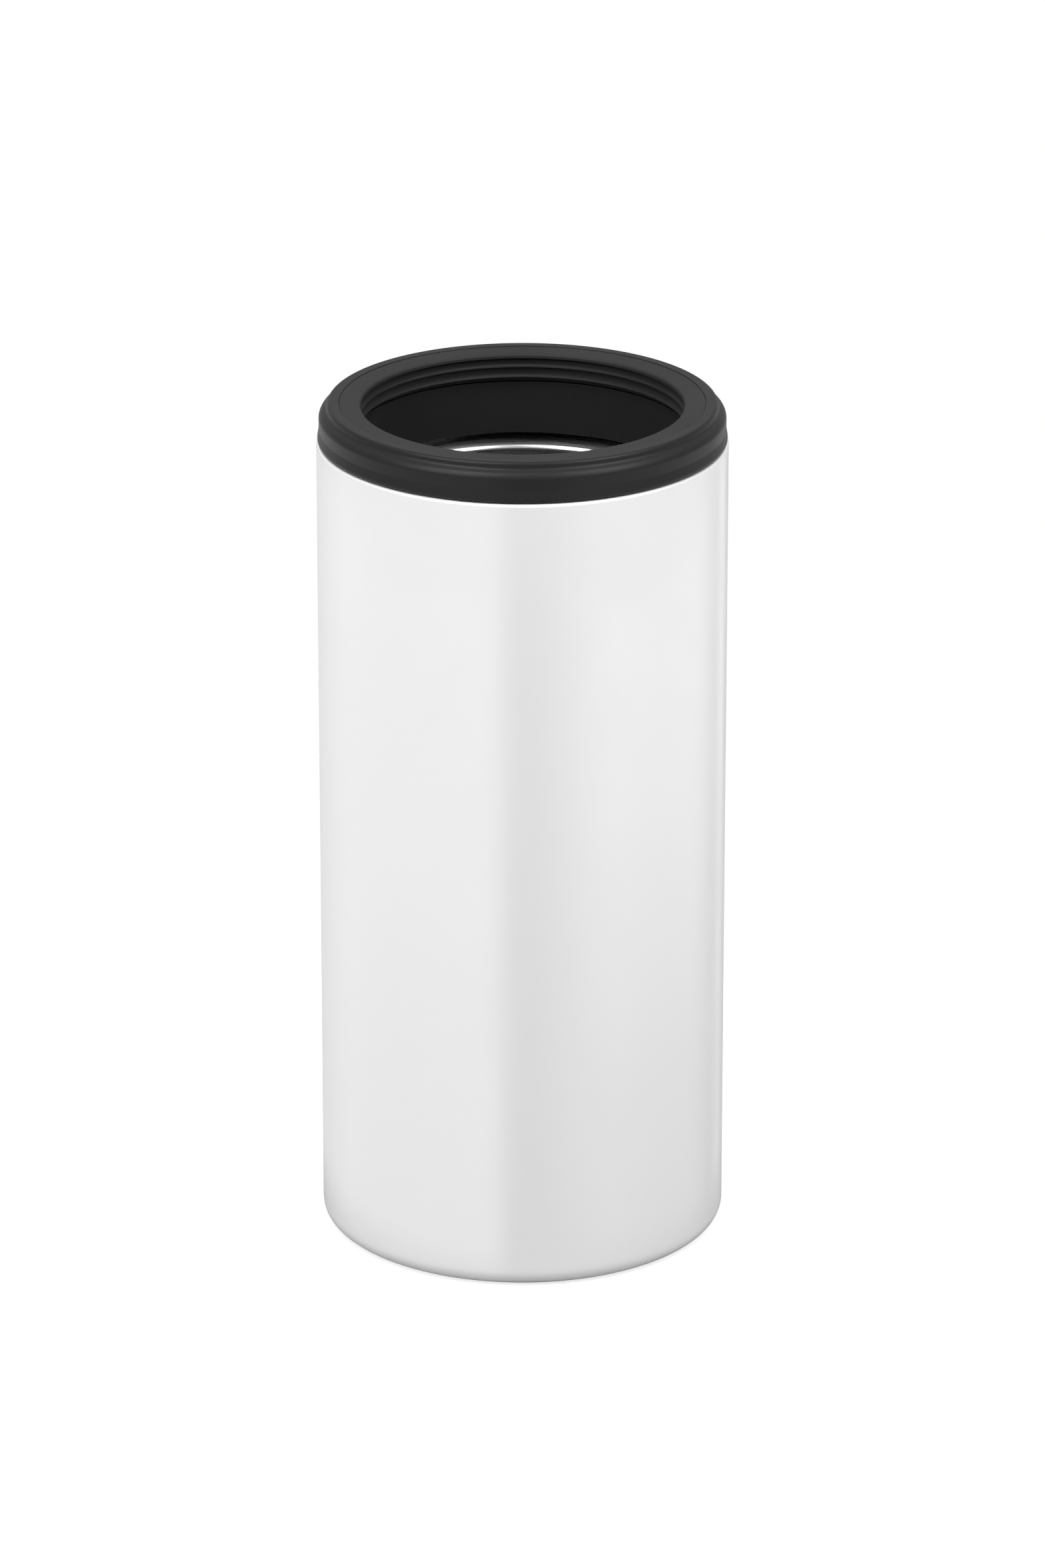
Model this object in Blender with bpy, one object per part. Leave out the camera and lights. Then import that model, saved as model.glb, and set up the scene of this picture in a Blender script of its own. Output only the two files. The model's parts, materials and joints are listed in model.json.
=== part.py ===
"""Double-wall steel cooler for a slim drinks can, with a collar that screws into its mouth.

Metres, +Z up. The origin is the middle of the foot, on the surface that the cooler stands on.
The steel pieces are pressed or drawn from one sheet thickness, so each is a path of bends that is
given its thickness and turned round the Z axis. The collar's thread and the liner's rolled thread
are ridges carried up a right-hand helix.
"""

import math

import bmesh
import bpy

# Chords round the axis, and how far a bend's chords may lie from its arc
SEGMENTS = 48
BEND_TOLERANCE = 0.00005

# Steel body
SHEET = 0.0005
PIECE_GAP = 0.0003
CAN_RADIUS = 0.0287
CAN_PLAY = 0.0005
VACUUM_SPACE = 0.0063
BODY_HEIGHT = 0.1479
SHOULDER_BEND = 0.0014
FOOT_BEND = 0.0028
STANDING_RING = 0.0021
HEM_BEND = 0.0008
HEM_HEIGHT = 0.0030
WELL_FLOOR_HEIGHT = 0.0140
WELL_BEND = 0.0040
NECK_SLOPE = 0.0020
NECK_BEND = 0.0010

# Foot
PAN_HEIGHT = 0.0040
PAN_EDGE_HEIGHT = 0.0008
PAN_BEND = 0.0010
DIMPLE_RADIUS = 0.0055
DIMPLE_FLOOR_RADIUS = 0.0032
DIMPLE_DEPTH = 0.0014
PUMPING_HOLE_RADIUS = 0.0008
BEAD_RADIUS = 0.0024
BEAD_THICKNESS = 0.0009
BEAD_BEND = 0.0006
COVER_HEIGHT = 0.0010
COVER_FLANGE = 0.0016
COVER_BEND = 0.0010
COVER_DISH_RADIUS = 0.0240
COVER_DISH_SLOPE = 0.0010
COVER_DISH_DEPTH = 0.0005
GETTER_RADIUS = 0.0040
GETTER_THICKNESS = 0.0015
GETTER_BEND = 0.0004
GETTER_OFFSET = 0.0150
SMALL_PIECE_SEGMENTS = 20

# Thread
THREAD_STARTS = 2
THREAD_PITCH = 0.0030
THREAD_TURNS = 0.9
THREAD_DEPTH = 0.0010
THREAD_PLAY = 0.0004
RIDGE_FOOT_WIDTH = 0.0016
RIDGE_CREST_WIDTH = 0.0008
ROLLED_FOOT_WIDTH = 0.0019
ROLLED_CREST_WIDTH = 0.0008
RUN_OUT_CHORDS = 4

# Collar
COLLAR_RISE = 0.0068
SKIRT_PLAY = 0.0009
SKIRT_WALL = 0.0015
SKIRT_NECK = 0.0016
SKIRT_LEAD_IN = 0.0014
SKIRT_CHAMFER = 0.0005
WALL_INSET = 0.00045
LIP_FLARE = 0.00025
LIP_HEIGHT = 0.0006
FLARE_HEIGHT = 0.0015
LIP_BEND = 0.0003
CROWN_WIDTH = 0.00205
CROWN_BEND = 0.0005
CROWN_SLOPE = 0.00045
COVE_BEND = 0.0006
LEDGE_DROP = 0.00115
LEDGE_WIDTH = 0.00055
LEDGE_FALL = 0.00013
LEDGE_CHAMFER = 0.00062
LEDGE_BEND = 0.0012

# Gasket and seal
GASKET_SINK = 0.0001
GASKET_FALL = 0.00025
GASKET_DEPTH = 0.0055
GASKET_WALL = 0.0017
GASKET_FLANGE = 0.00085
GASKET_FLANGE_THICKNESS = 0.0018
GRIP_SQUEEZE = 0.0001
GRIP_REACH = 0.0010
GRIP_TIP = 0.0003
GRIP_FOOT = 0.0009
LOWER_GRIPS = 2
NOSE_HEIGHT = 0.0008
NOSE_SLOPE = 0.0006
NOSE_BEND = 0.0005
SEAL_WIDTH = 0.0011
SEAL_THICKNESS = 0.0016
SEAL_BEND = 0.0003

# Radii that follow from the sizes above
LINER_RADIUS = CAN_RADIUS + CAN_PLAY
BODY_RADIUS = LINER_RADIUS + SHEET + VACUUM_SPACE + SHEET
SKIRT_BORE = CAN_RADIUS + SKIRT_PLAY
SKIRT_RADIUS = SKIRT_BORE + SKIRT_WALL
MOUTH_RADIUS = SKIRT_RADIUS + THREAD_DEPTH + THREAD_PLAY
RIM_EDGE_RADIUS = MOUTH_RADIUS + SHEET + PIECE_GAP
HEM_RADIUS = BODY_RADIUS - FOOT_BEND - STANDING_RING - HEM_BEND
PAN_RADIUS = HEM_RADIUS - PIECE_GAP
COVER_RADIUS = PAN_RADIUS - SHEET - PIECE_GAP
GRIP_RADIUS = CAN_RADIUS - GRIP_SQUEEZE
GASKET_BORE = GRIP_RADIUS + GRIP_REACH
GASKET_BODY_RADIUS = GASKET_BORE + GASKET_WALL
GASKET_FLANGE_RADIUS = GASKET_BODY_RADIUS + GASKET_FLANGE
CROWN_EDGE_RADIUS = GASKET_FLANGE_RADIUS + PIECE_GAP
WALL_RADIUS = BODY_RADIUS - WALL_INSET
SEAL_RADIUS = (RIM_EDGE_RADIUS + BODY_RADIUS - SHOULDER_BEND) / 2

# Heights that follow; those of the collar, gasket and seal are counted from the rim
THREAD_LEAD = THREAD_STARTS * THREAD_PITCH
SKIRT_DEPTH = SKIRT_NECK + THREAD_LEAD * THREAD_TURNS + SKIRT_LEAD_IN
THREAD_BASE = SKIRT_LEAD_IN - SKIRT_DEPTH
NECK_HEIGHT = BODY_HEIGHT - SKIRT_DEPTH - 2 * PIECE_GAP
COLLAR_TOP = PIECE_GAP + COLLAR_RISE
GASKET_TOP = COLLAR_TOP - GASKET_SINK
GASKET_BASE = GASKET_TOP - GASKET_DEPTH

# Colour, roughness and metallic value of each material
WHITE_PAINT = ((0.86, 0.86, 0.85), 0.22, 0.0)
STEEL = ((0.62, 0.62, 0.63), 0.32, 1.0)
BLACK_PLASTIC = ((0.030, 0.030, 0.032), 0.48, 0.0)
GREY_RUBBER = ((0.055, 0.055, 0.058), 0.60, 0.0)
DARK_RUBBER = ((0.025, 0.025, 0.025), 0.75, 0.0)
SEALING_GLASS = ((0.10, 0.11, 0.12), 0.15, 0.0)
SINTERED_METAL = ((0.30, 0.29, 0.28), 0.80, 0.6)


def clear_scene():
    """Removes what a new file holds, such as the starting cube."""
    for item in list(bpy.data.objects):
        bpy.data.objects.remove(item, do_unlink=True)


def finish(name, look):
    """A material from a (colour, roughness, metallic) look."""
    colour, roughness, metallic = look
    material = bpy.data.materials.new(name)
    material.use_nodes = True
    shader = material.node_tree.nodes["Principled BSDF"]
    shader.inputs["Base Color"].default_value = (*colour, 1.0)
    shader.inputs["Roughness"].default_value = roughness
    shader.inputs["Metallic"].default_value = metallic
    return material


def heading(start, end):
    """Unit vector from one (radius, height) point to another."""
    length = math.dist(start[:2], end[:2])
    return ((end[0] - start[0]) / length, (end[1] - start[1]) / length)


def bend_points(before, corner, after):
    """A corner's points: itself where it is sharp, or an arc that takes less than half of a side."""
    radius, height, bend = corner
    into, out = heading(before, corner), heading(corner, after)
    turn = math.atan2(into[0] * out[1] - into[1] * out[0], into[0] * out[0] + into[1] * out[1])
    if bend <= 0 or turn == 0:
        return [(radius, height)]
    shortest = min(math.dist(before[:2], corner[:2]), math.dist(corner[:2], after[:2]))
    reach = min(bend * math.tan(abs(turn) / 2), 0.49 * shortest)
    arc_radius = reach / math.tan(abs(turn) / 2)
    side = math.copysign(arc_radius, turn)
    centre = (radius - into[0] * reach - into[1] * side, height - into[1] * reach + into[0] * side)
    first = math.atan2(-into[0] * side, into[1] * side)
    chord_turn = 2 * math.acos(1 - BEND_TOLERANCE / max(arc_radius, BEND_TOLERANCE))
    chords = max(1, round(abs(turn) / chord_turn))
    return [
        (centre[0] + arc_radius * math.cos(first + turn * step / chords),
         centre[1] + arc_radius * math.sin(first + turn * step / chords))
        for step in range(chords + 1)
    ]


def open_outline(corners):
    """Points along a path of (radius, height, bend) corners that has two ends."""
    points = [corners[0][:2]]
    for before, corner, after in zip(corners, corners[1:], corners[2:]):
        points += bend_points(before, corner, after)
    return points + [corners[-1][:2]]


def closed_outline(corners):
    """Outline of a moulded ring, through its (radius, height, bend) corners in order."""
    following = corners[1:] + corners[:1]
    points = []
    for before, corner, after in zip(corners[-1:] + corners, corners, following):
        points += bend_points(before, corner, after)
    return points


def offset_path(corners, distance):
    """The path moved to its left, with each bend tightened or opened by the same distance."""
    sides = [heading(start, end) for start, end in zip(corners, corners[1:])]
    moved = []
    for (radius, height, bend), into, out in zip(corners, sides[:1] + sides, sides + sides[-1:]):
        share = distance / (1 + into[0] * out[0] + into[1] * out[1])
        turn = into[0] * out[1] - into[1] * out[0]
        new_bend = bend - math.copysign(distance, turn) if bend > 0 else 0
        moved.append((radius - share * (into[1] + out[1]), height + share * (into[0] + out[0]), new_bend))
    return moved


def pressed_outline(corners):
    """Section of a sheet pressed along a path, with its thickness on the path's left."""
    return open_outline(corners) + open_outline(offset_path(corners, SHEET))[::-1]


def made_object(name, mesh, material):
    """Object from a bmesh, with its faces pointing out and its bends shaded smooth."""
    bmesh.ops.recalc_face_normals(mesh, faces=mesh.faces[:])
    data = bpy.data.meshes.new(name)
    mesh.to_mesh(data)
    mesh.free()
    data.shade_smooth()
    data.set_sharp_from_angle(angle=math.radians(40))
    if material:
        data.materials.append(material)
    item = bpy.data.objects.new(name, data)
    bpy.context.scene.collection.objects.link(item)
    return item


def turned(name, outline, material, segments=SEGMENTS):
    """Object made by turning an outline round the Z axis; the outline may end on the axis."""
    mesh = bmesh.new()
    corners = [mesh.verts.new((radius, 0, height)) for radius, height in outline]
    for start, end in zip(corners, corners[1:] + corners[:1]):
        if max(start.co.x, end.co.x) > 0:
            mesh.edges.new((start, end))
    bmesh.ops.spin(
        mesh, geom=mesh.verts[:] + mesh.edges[:], axis=(0, 0, 1), cent=(0, 0, 0),
        angle=2 * math.pi, steps=segments, use_merge=True,
    )
    bmesh.ops.remove_doubles(mesh, verts=mesh.verts[:], dist=1e-7)
    return made_object(name, mesh, material)


def helix(name, foot, crest, foot_width, crest_width, base, first_angle):
    """Thread ridges on a right-hand helix, one for each start.

    A section is a trapezoid from the wall's radius (foot) to the crest. It reaches a little into
    the wall, with its flanks carried on, and at both ends the crest runs out below the surface.
    """
    mesh = bmesh.new()
    outward = math.copysign(1, crest - foot)
    sunk = SHEET / 2
    sunk_width = foot_width + (foot_width - crest_width) * sunk / abs(crest - foot)
    steps = round(THREAD_TURNS * SEGMENTS)
    for start in range(THREAD_STARTS):
        rings = []
        for step in range(steps + 1):
            share = min(step, steps - step, RUN_OUT_CHORDS) / RUN_OUT_CHORDS
            top = (foot - outward * sunk / 2) * (1 - share) + crest * share
            angle = first_angle + 2 * math.pi * (start / THREAD_STARTS + step / SEGMENTS)
            height = base + THREAD_LEAD * step / SEGMENTS
            rings.append([
                mesh.verts.new((radius * math.cos(angle), radius * math.sin(angle), height + rise))
                for radius, rise in (
                    (foot - outward * sunk, -sunk_width / 2),
                    (top, -crest_width / 2),
                    (top, crest_width / 2),
                    (foot - outward * sunk, sunk_width / 2),
                )
            ])
        for ring, following in zip(rings, rings[1:]):
            for index, neighbour in ((0, 1), (1, 2), (2, 3), (3, 0)):
                mesh.faces.new((ring[index], ring[neighbour], following[neighbour], following[index]))
        mesh.faces.new(rings[0])
        mesh.faces.new(rings[-1])
    return made_object(name, mesh, None)


def combine(item, tool, operation):
    """Adds a tool's shape to a piece, or cuts it out of the piece."""
    tool.hide_render = True
    tool.display_type = "WIRE"
    modifier = item.modifiers.new(tool.name, "BOOLEAN")
    modifier.operation = operation
    modifier.solver = "EXACT"
    modifier.object = tool


def outer_shell(material):
    """Straight tube with its foot bent to a standing ring and a hem, and its mouth rolled in."""
    path = [
        (HEM_RADIUS, HEM_HEIGHT, 0),
        (HEM_RADIUS, 0, HEM_BEND),
        (BODY_RADIUS, 0, FOOT_BEND),
        (BODY_RADIUS, BODY_HEIGHT, SHOULDER_BEND),
        (RIM_EDGE_RADIUS, BODY_HEIGHT, 0),
    ]
    return turned("outer_shell", pressed_outline(path), material)


def inner_liner(material):
    """Drawn cup for the can, widened at the neck and rolled with an internal thread."""
    path = [
        (MOUTH_RADIUS, BODY_HEIGHT, 0),
        (MOUTH_RADIUS, NECK_HEIGHT, NECK_BEND),
        (LINER_RADIUS, NECK_HEIGHT - NECK_SLOPE, NECK_BEND),
        (LINER_RADIUS, WELL_FLOOR_HEIGHT, WELL_BEND),
        (0, WELL_FLOOR_HEIGHT, 0),
    ]
    liner = turned("inner_liner", pressed_outline(path), material)
    base = BODY_HEIGHT + THREAD_BASE
    between_ridges = math.pi / THREAD_STARTS
    flank = (ROLLED_FOOT_WIDTH - ROLLED_CREST_WIDTH) / (2 * THREAD_DEPTH)
    sheet_across = SHEET * math.hypot(1, flank)
    groove_foot = ROLLED_FOOT_WIDTH + 2 * (flank * SHEET - sheet_across)
    groove_crest = ROLLED_CREST_WIDTH + 2 * (flank * SHEET - sheet_across)
    rolled = helix(
        "rolled_thread", MOUTH_RADIUS, MOUTH_RADIUS - THREAD_DEPTH,
        ROLLED_FOOT_WIDTH, ROLLED_CREST_WIDTH, base, between_ridges,
    )
    groove = helix(
        "rolled_groove", MOUTH_RADIUS + SHEET, MOUTH_RADIUS + SHEET - THREAD_DEPTH,
        groove_foot, groove_crest, base, between_ridges,
    )
    combine(liner, rolled, "UNION")
    combine(liner, groove, "DIFFERENCE")
    return liner


def outer_base(material):
    """Pan that closes the shell's foot, with the dimple and hole through which the air was drawn."""
    path = [
        (PAN_RADIUS, PAN_EDGE_HEIGHT, 0),
        (PAN_RADIUS, PAN_HEIGHT, PAN_BEND),
        (DIMPLE_RADIUS, PAN_HEIGHT, 0),
        (DIMPLE_FLOOR_RADIUS, PAN_HEIGHT + DIMPLE_DEPTH, 0),
        (PUMPING_HOLE_RADIUS, PAN_HEIGHT + DIMPLE_DEPTH, 0),
    ]
    return turned("outer_base", pressed_outline(path), material)


def vacuum_bead(material):
    """Drop of sealing glass that closes the pumping hole from below."""
    top = PAN_HEIGHT + DIMPLE_DEPTH - SHEET - PIECE_GAP
    outline = open_outline([
        (0, top - BEAD_THICKNESS, 0),
        (BEAD_RADIUS, top - BEAD_THICKNESS, BEAD_BEND),
        (BEAD_RADIUS, top, 0),
        (0, top, 0),
    ])
    return turned("vacuum_bead", outline, material, SMALL_PIECE_SEGMENTS)


def getter(material):
    """Pill on the pan, inside the evacuated space, which takes up the last of the gas."""
    outline = open_outline([
        (0, 0, 0),
        (GETTER_RADIUS, 0, GETTER_BEND),
        (GETTER_RADIUS, GETTER_THICKNESS, GETTER_BEND),
        (0, GETTER_THICKNESS, 0),
    ])
    pill = turned("getter", outline, material, SMALL_PIECE_SEGMENTS)
    pill.location = (GETTER_OFFSET, 0, PAN_HEIGHT + PIECE_GAP)
    return pill


def base_cover(material):
    """Shallow cap pushed up inside the pan's flange, with a dished middle."""
    path = [
        (0, COVER_HEIGHT + COVER_DISH_DEPTH, 0),
        (COVER_DISH_RADIUS, COVER_HEIGHT + COVER_DISH_DEPTH, 0),
        (COVER_DISH_RADIUS + COVER_DISH_SLOPE, COVER_HEIGHT, 0),
        (COVER_RADIUS, COVER_HEIGHT, COVER_BEND),
        (COVER_RADIUS, COVER_HEIGHT + COVER_FLANGE, 0),
    ]
    return turned("base_cover", pressed_outline(path), material)


def collar(material):
    """Screw-in ring: stepped top and flared lip outside, gasket seat inside, threaded skirt below."""
    crown_radius = CROWN_EDGE_RADIUS + CROWN_WIDTH
    cove_radius = crown_radius + CROWN_SLOPE
    ledge = COLLAR_TOP - LEDGE_DROP
    ledge_edge = ledge - LEDGE_FALL
    seal_reach = SEAL_WIDTH / 2 + PIECE_GAP
    channel_top = PIECE_GAP + SEAL_THICKNESS + PIECE_GAP
    flange_seat = GASKET_TOP - GASKET_FLANGE_THICKNESS - PIECE_GAP
    outline = closed_outline([
        (CROWN_EDGE_RADIUS, COLLAR_TOP, 0),
        (crown_radius, COLLAR_TOP, CROWN_BEND),
        (cove_radius, ledge, COVE_BEND),
        (cove_radius + LEDGE_WIDTH, ledge_edge, LEDGE_BEND),
        (WALL_RADIUS, ledge_edge - LEDGE_CHAMFER, LEDGE_BEND),
        (WALL_RADIUS, PIECE_GAP + LIP_HEIGHT + FLARE_HEIGHT, 0),
        (WALL_RADIUS + LIP_FLARE, PIECE_GAP + LIP_HEIGHT, 0),
        (WALL_RADIUS + LIP_FLARE, PIECE_GAP, LIP_BEND),
        (SEAL_RADIUS + seal_reach, PIECE_GAP, 0),
        (SEAL_RADIUS + seal_reach, channel_top, 0),
        (SEAL_RADIUS - seal_reach, channel_top, 0),
        (SEAL_RADIUS - seal_reach, PIECE_GAP, 0),
        (SKIRT_RADIUS, PIECE_GAP, 0),
        (SKIRT_RADIUS, SKIRT_CHAMFER - SKIRT_DEPTH, 0),
        (SKIRT_RADIUS - SKIRT_CHAMFER, -SKIRT_DEPTH, 0),
        (SKIRT_BORE, -SKIRT_DEPTH, 0),
        (SKIRT_BORE, GASKET_BASE - PIECE_GAP, 0),
        (GASKET_BODY_RADIUS + PIECE_GAP, GASKET_BASE - PIECE_GAP, 0),
        (GASKET_BODY_RADIUS + PIECE_GAP, flange_seat, 0),
        (CROWN_EDGE_RADIUS, flange_seat, 0),
    ])
    ring = turned("collar", outline, material)
    thread = helix(
        "collar_thread", SKIRT_RADIUS, SKIRT_RADIUS + THREAD_DEPTH,
        RIDGE_FOOT_WIDTH, RIDGE_CREST_WIDTH, THREAD_BASE, 0,
    )
    combine(ring, thread, "UNION")
    return ring, thread


def gasket(material):
    """Soft ring in the collar's seat: a flange, a nose at its top edge and grips that hold the can."""
    nose_top = GASKET_TOP - GASKET_FALL
    nose_foot = nose_top - NOSE_HEIGHT - NOSE_SLOPE
    flange_base = GASKET_TOP - GASKET_FLANGE_THICKNESS
    corners = [
        (GRIP_RADIUS, nose_top, NOSE_BEND),
        (GASKET_FLANGE_RADIUS, GASKET_TOP, 0),
        (GASKET_FLANGE_RADIUS, flange_base, 0),
        (GASKET_BODY_RADIUS, flange_base, 0),
        (GASKET_BODY_RADIUS, GASKET_BASE, 0),
        (GASKET_BORE, GASKET_BASE, 0),
    ]
    spacing = (nose_foot - GASKET_BASE) / LOWER_GRIPS
    for grip in range(LOWER_GRIPS):
        middle = GASKET_BASE + (grip + 0.5) * spacing
        corners += [
            (GASKET_BORE, middle - GRIP_FOOT / 2, 0),
            (GRIP_RADIUS, middle - GRIP_TIP / 2, 0),
            (GRIP_RADIUS, middle + GRIP_TIP / 2, 0),
            (GASKET_BORE, middle + GRIP_FOOT / 2, 0),
        ]
    corners += [
        (GASKET_BORE, nose_foot, 0),
        (GRIP_RADIUS, nose_top - NOSE_HEIGHT, 0),
    ]
    return turned("gasket", closed_outline(corners), material)


def rim_seal(material):
    """Ring in the channel under the collar, which presses on the rolled rim."""
    inner, outer = SEAL_RADIUS - SEAL_WIDTH / 2, SEAL_RADIUS + SEAL_WIDTH / 2
    outline = closed_outline([
        (inner, PIECE_GAP, SEAL_BEND),
        (outer, PIECE_GAP, SEAL_BEND),
        (outer, PIECE_GAP + SEAL_THICKNESS, 0),
        (inner, PIECE_GAP + SEAL_THICKNESS, 0),
    ])
    return turned("rim_seal", outline, material)


def axis_empty(name, height):
    """Empty on the joint's axis, which carries the pieces that move on it."""
    empty = bpy.data.objects.new(name, None)
    empty.location = (0, 0, height)
    bpy.context.scene.collection.objects.link(empty)
    return empty


def main():
    """Builds the cooler, with the collar and what it carries on the axis at the rim's height."""
    clear_scene()
    steel = finish("brushed_steel", STEEL)
    outer_shell(finish("white_paint", WHITE_PAINT))
    inner_liner(steel)
    outer_base(steel)
    vacuum_bead(finish("sealing_glass", SEALING_GLASS))
    getter(finish("sintered_metal", SINTERED_METAL))
    base_cover(steel)
    screw_axis = axis_empty("screw_axis", BODY_HEIGHT)
    ring, thread = collar(finish("black_plastic", BLACK_PLASTIC))
    carried = [
        ring,
        thread,
        gasket(finish("grey_rubber", GREY_RUBBER)),
        rim_seal(finish("dark_rubber", DARK_RUBBER)),
    ]
    for item in carried:
        item.parent = screw_axis


main()
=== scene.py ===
"""Looks of the can cooler: its fine surfaces, finishes, studio and camera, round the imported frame.

Metres, +Z up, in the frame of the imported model. Every piece is a turned surface: a section of
radius and height is carried round the Z axis, and a thread is a relief on such a surface. The
driving sizes are read from the frame, and the rest are named fields of the class that uses them.
"""

from __future__ import annotations

import json
import logging
import math
from dataclasses import dataclass, replace
from enum import Enum
from typing import Callable, NamedTuple

import bpy
import numpy as np
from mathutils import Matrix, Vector

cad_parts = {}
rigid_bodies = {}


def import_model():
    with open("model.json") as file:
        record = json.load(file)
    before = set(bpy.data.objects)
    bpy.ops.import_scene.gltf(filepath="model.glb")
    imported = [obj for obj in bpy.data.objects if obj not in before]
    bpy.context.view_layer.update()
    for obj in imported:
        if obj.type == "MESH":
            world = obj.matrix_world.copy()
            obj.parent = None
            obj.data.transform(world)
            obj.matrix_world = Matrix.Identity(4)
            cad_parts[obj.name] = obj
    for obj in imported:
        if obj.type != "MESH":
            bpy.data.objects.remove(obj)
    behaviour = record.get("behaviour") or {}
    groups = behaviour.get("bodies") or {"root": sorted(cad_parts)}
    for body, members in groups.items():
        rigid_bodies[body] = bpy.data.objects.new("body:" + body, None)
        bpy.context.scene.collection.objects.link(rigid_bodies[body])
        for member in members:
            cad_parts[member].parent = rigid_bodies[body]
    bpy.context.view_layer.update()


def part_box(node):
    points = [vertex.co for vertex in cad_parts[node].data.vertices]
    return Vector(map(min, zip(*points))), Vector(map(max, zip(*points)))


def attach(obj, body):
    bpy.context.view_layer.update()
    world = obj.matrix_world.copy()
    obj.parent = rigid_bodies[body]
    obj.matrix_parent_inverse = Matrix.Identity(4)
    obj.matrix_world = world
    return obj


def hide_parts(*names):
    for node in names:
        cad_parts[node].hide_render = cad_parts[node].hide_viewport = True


LOG = logging.getLogger("can_cooler")
SAME_PLACE = 1e-6
WHITE = (1.0, 1.0, 1.0, 1.0)
INDIRECT = ("Glossy", "Transmission")

Relief = Callable[[np.ndarray, np.ndarray, np.ndarray], np.ndarray]
Socket = bpy.types.NodeSocket
Colour = tuple[float, float, float]
Span = tuple[float, float]
Inputs = dict[str, float | Socket]
Outputs = bpy.types.NodeOutputs


class Body(Enum):
    """Moving bodies of the frame."""

    COOLER = "cooler"
    SEAL = "seal_ring"
    COLLAR = "collar_ring"


class Slot(Enum):
    """Material slots of the record."""

    PAINT = "body_paint"
    STEEL = "steel"
    GLASS = "sealing_glass"
    SINTER = "getter_metal"
    PLASTIC = "collar_plastic"
    GASKET = "gasket_rubber"
    SEAL = "seal_rubber"


class Effect(Enum):
    """Shader node groups that several finishes share."""

    TONE_DRIFT = "tone_drift"
    TURNED_GRAIN = "turned_grain"
    MOULD_TEXTURE = "mould_texture"
    EDGE_WEAR = "edge_wear"
    AXIS_PLACE = "axis_place"


@dataclass(frozen=True)
class Corner:
    """Corner of a section.

    radius and height place it, bend is the radius of its arc, and rows is how many rows of the
    mesh lie on the straight run that follows it, besides one close to each end.
    """

    radius: float
    height: float
    bend: float = 0.00008
    rows: int = 1


@dataclass(frozen=True)
class Outline:
    """Rows of a section: radius, height, distance along it, and how far a row is on a tight edge."""

    radius: np.ndarray
    height: np.ndarray
    along: np.ndarray
    edge: np.ndarray

    def turns_left(self) -> bool:
        """Whether the outline runs anticlockwise, by the sign of the area that it encloses."""
        next_radius, next_height = np.roll(self.radius, -1), np.roll(self.height, -1)
        return bool(np.sum(self.radius * next_height - next_radius * self.height) > 0)


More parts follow.
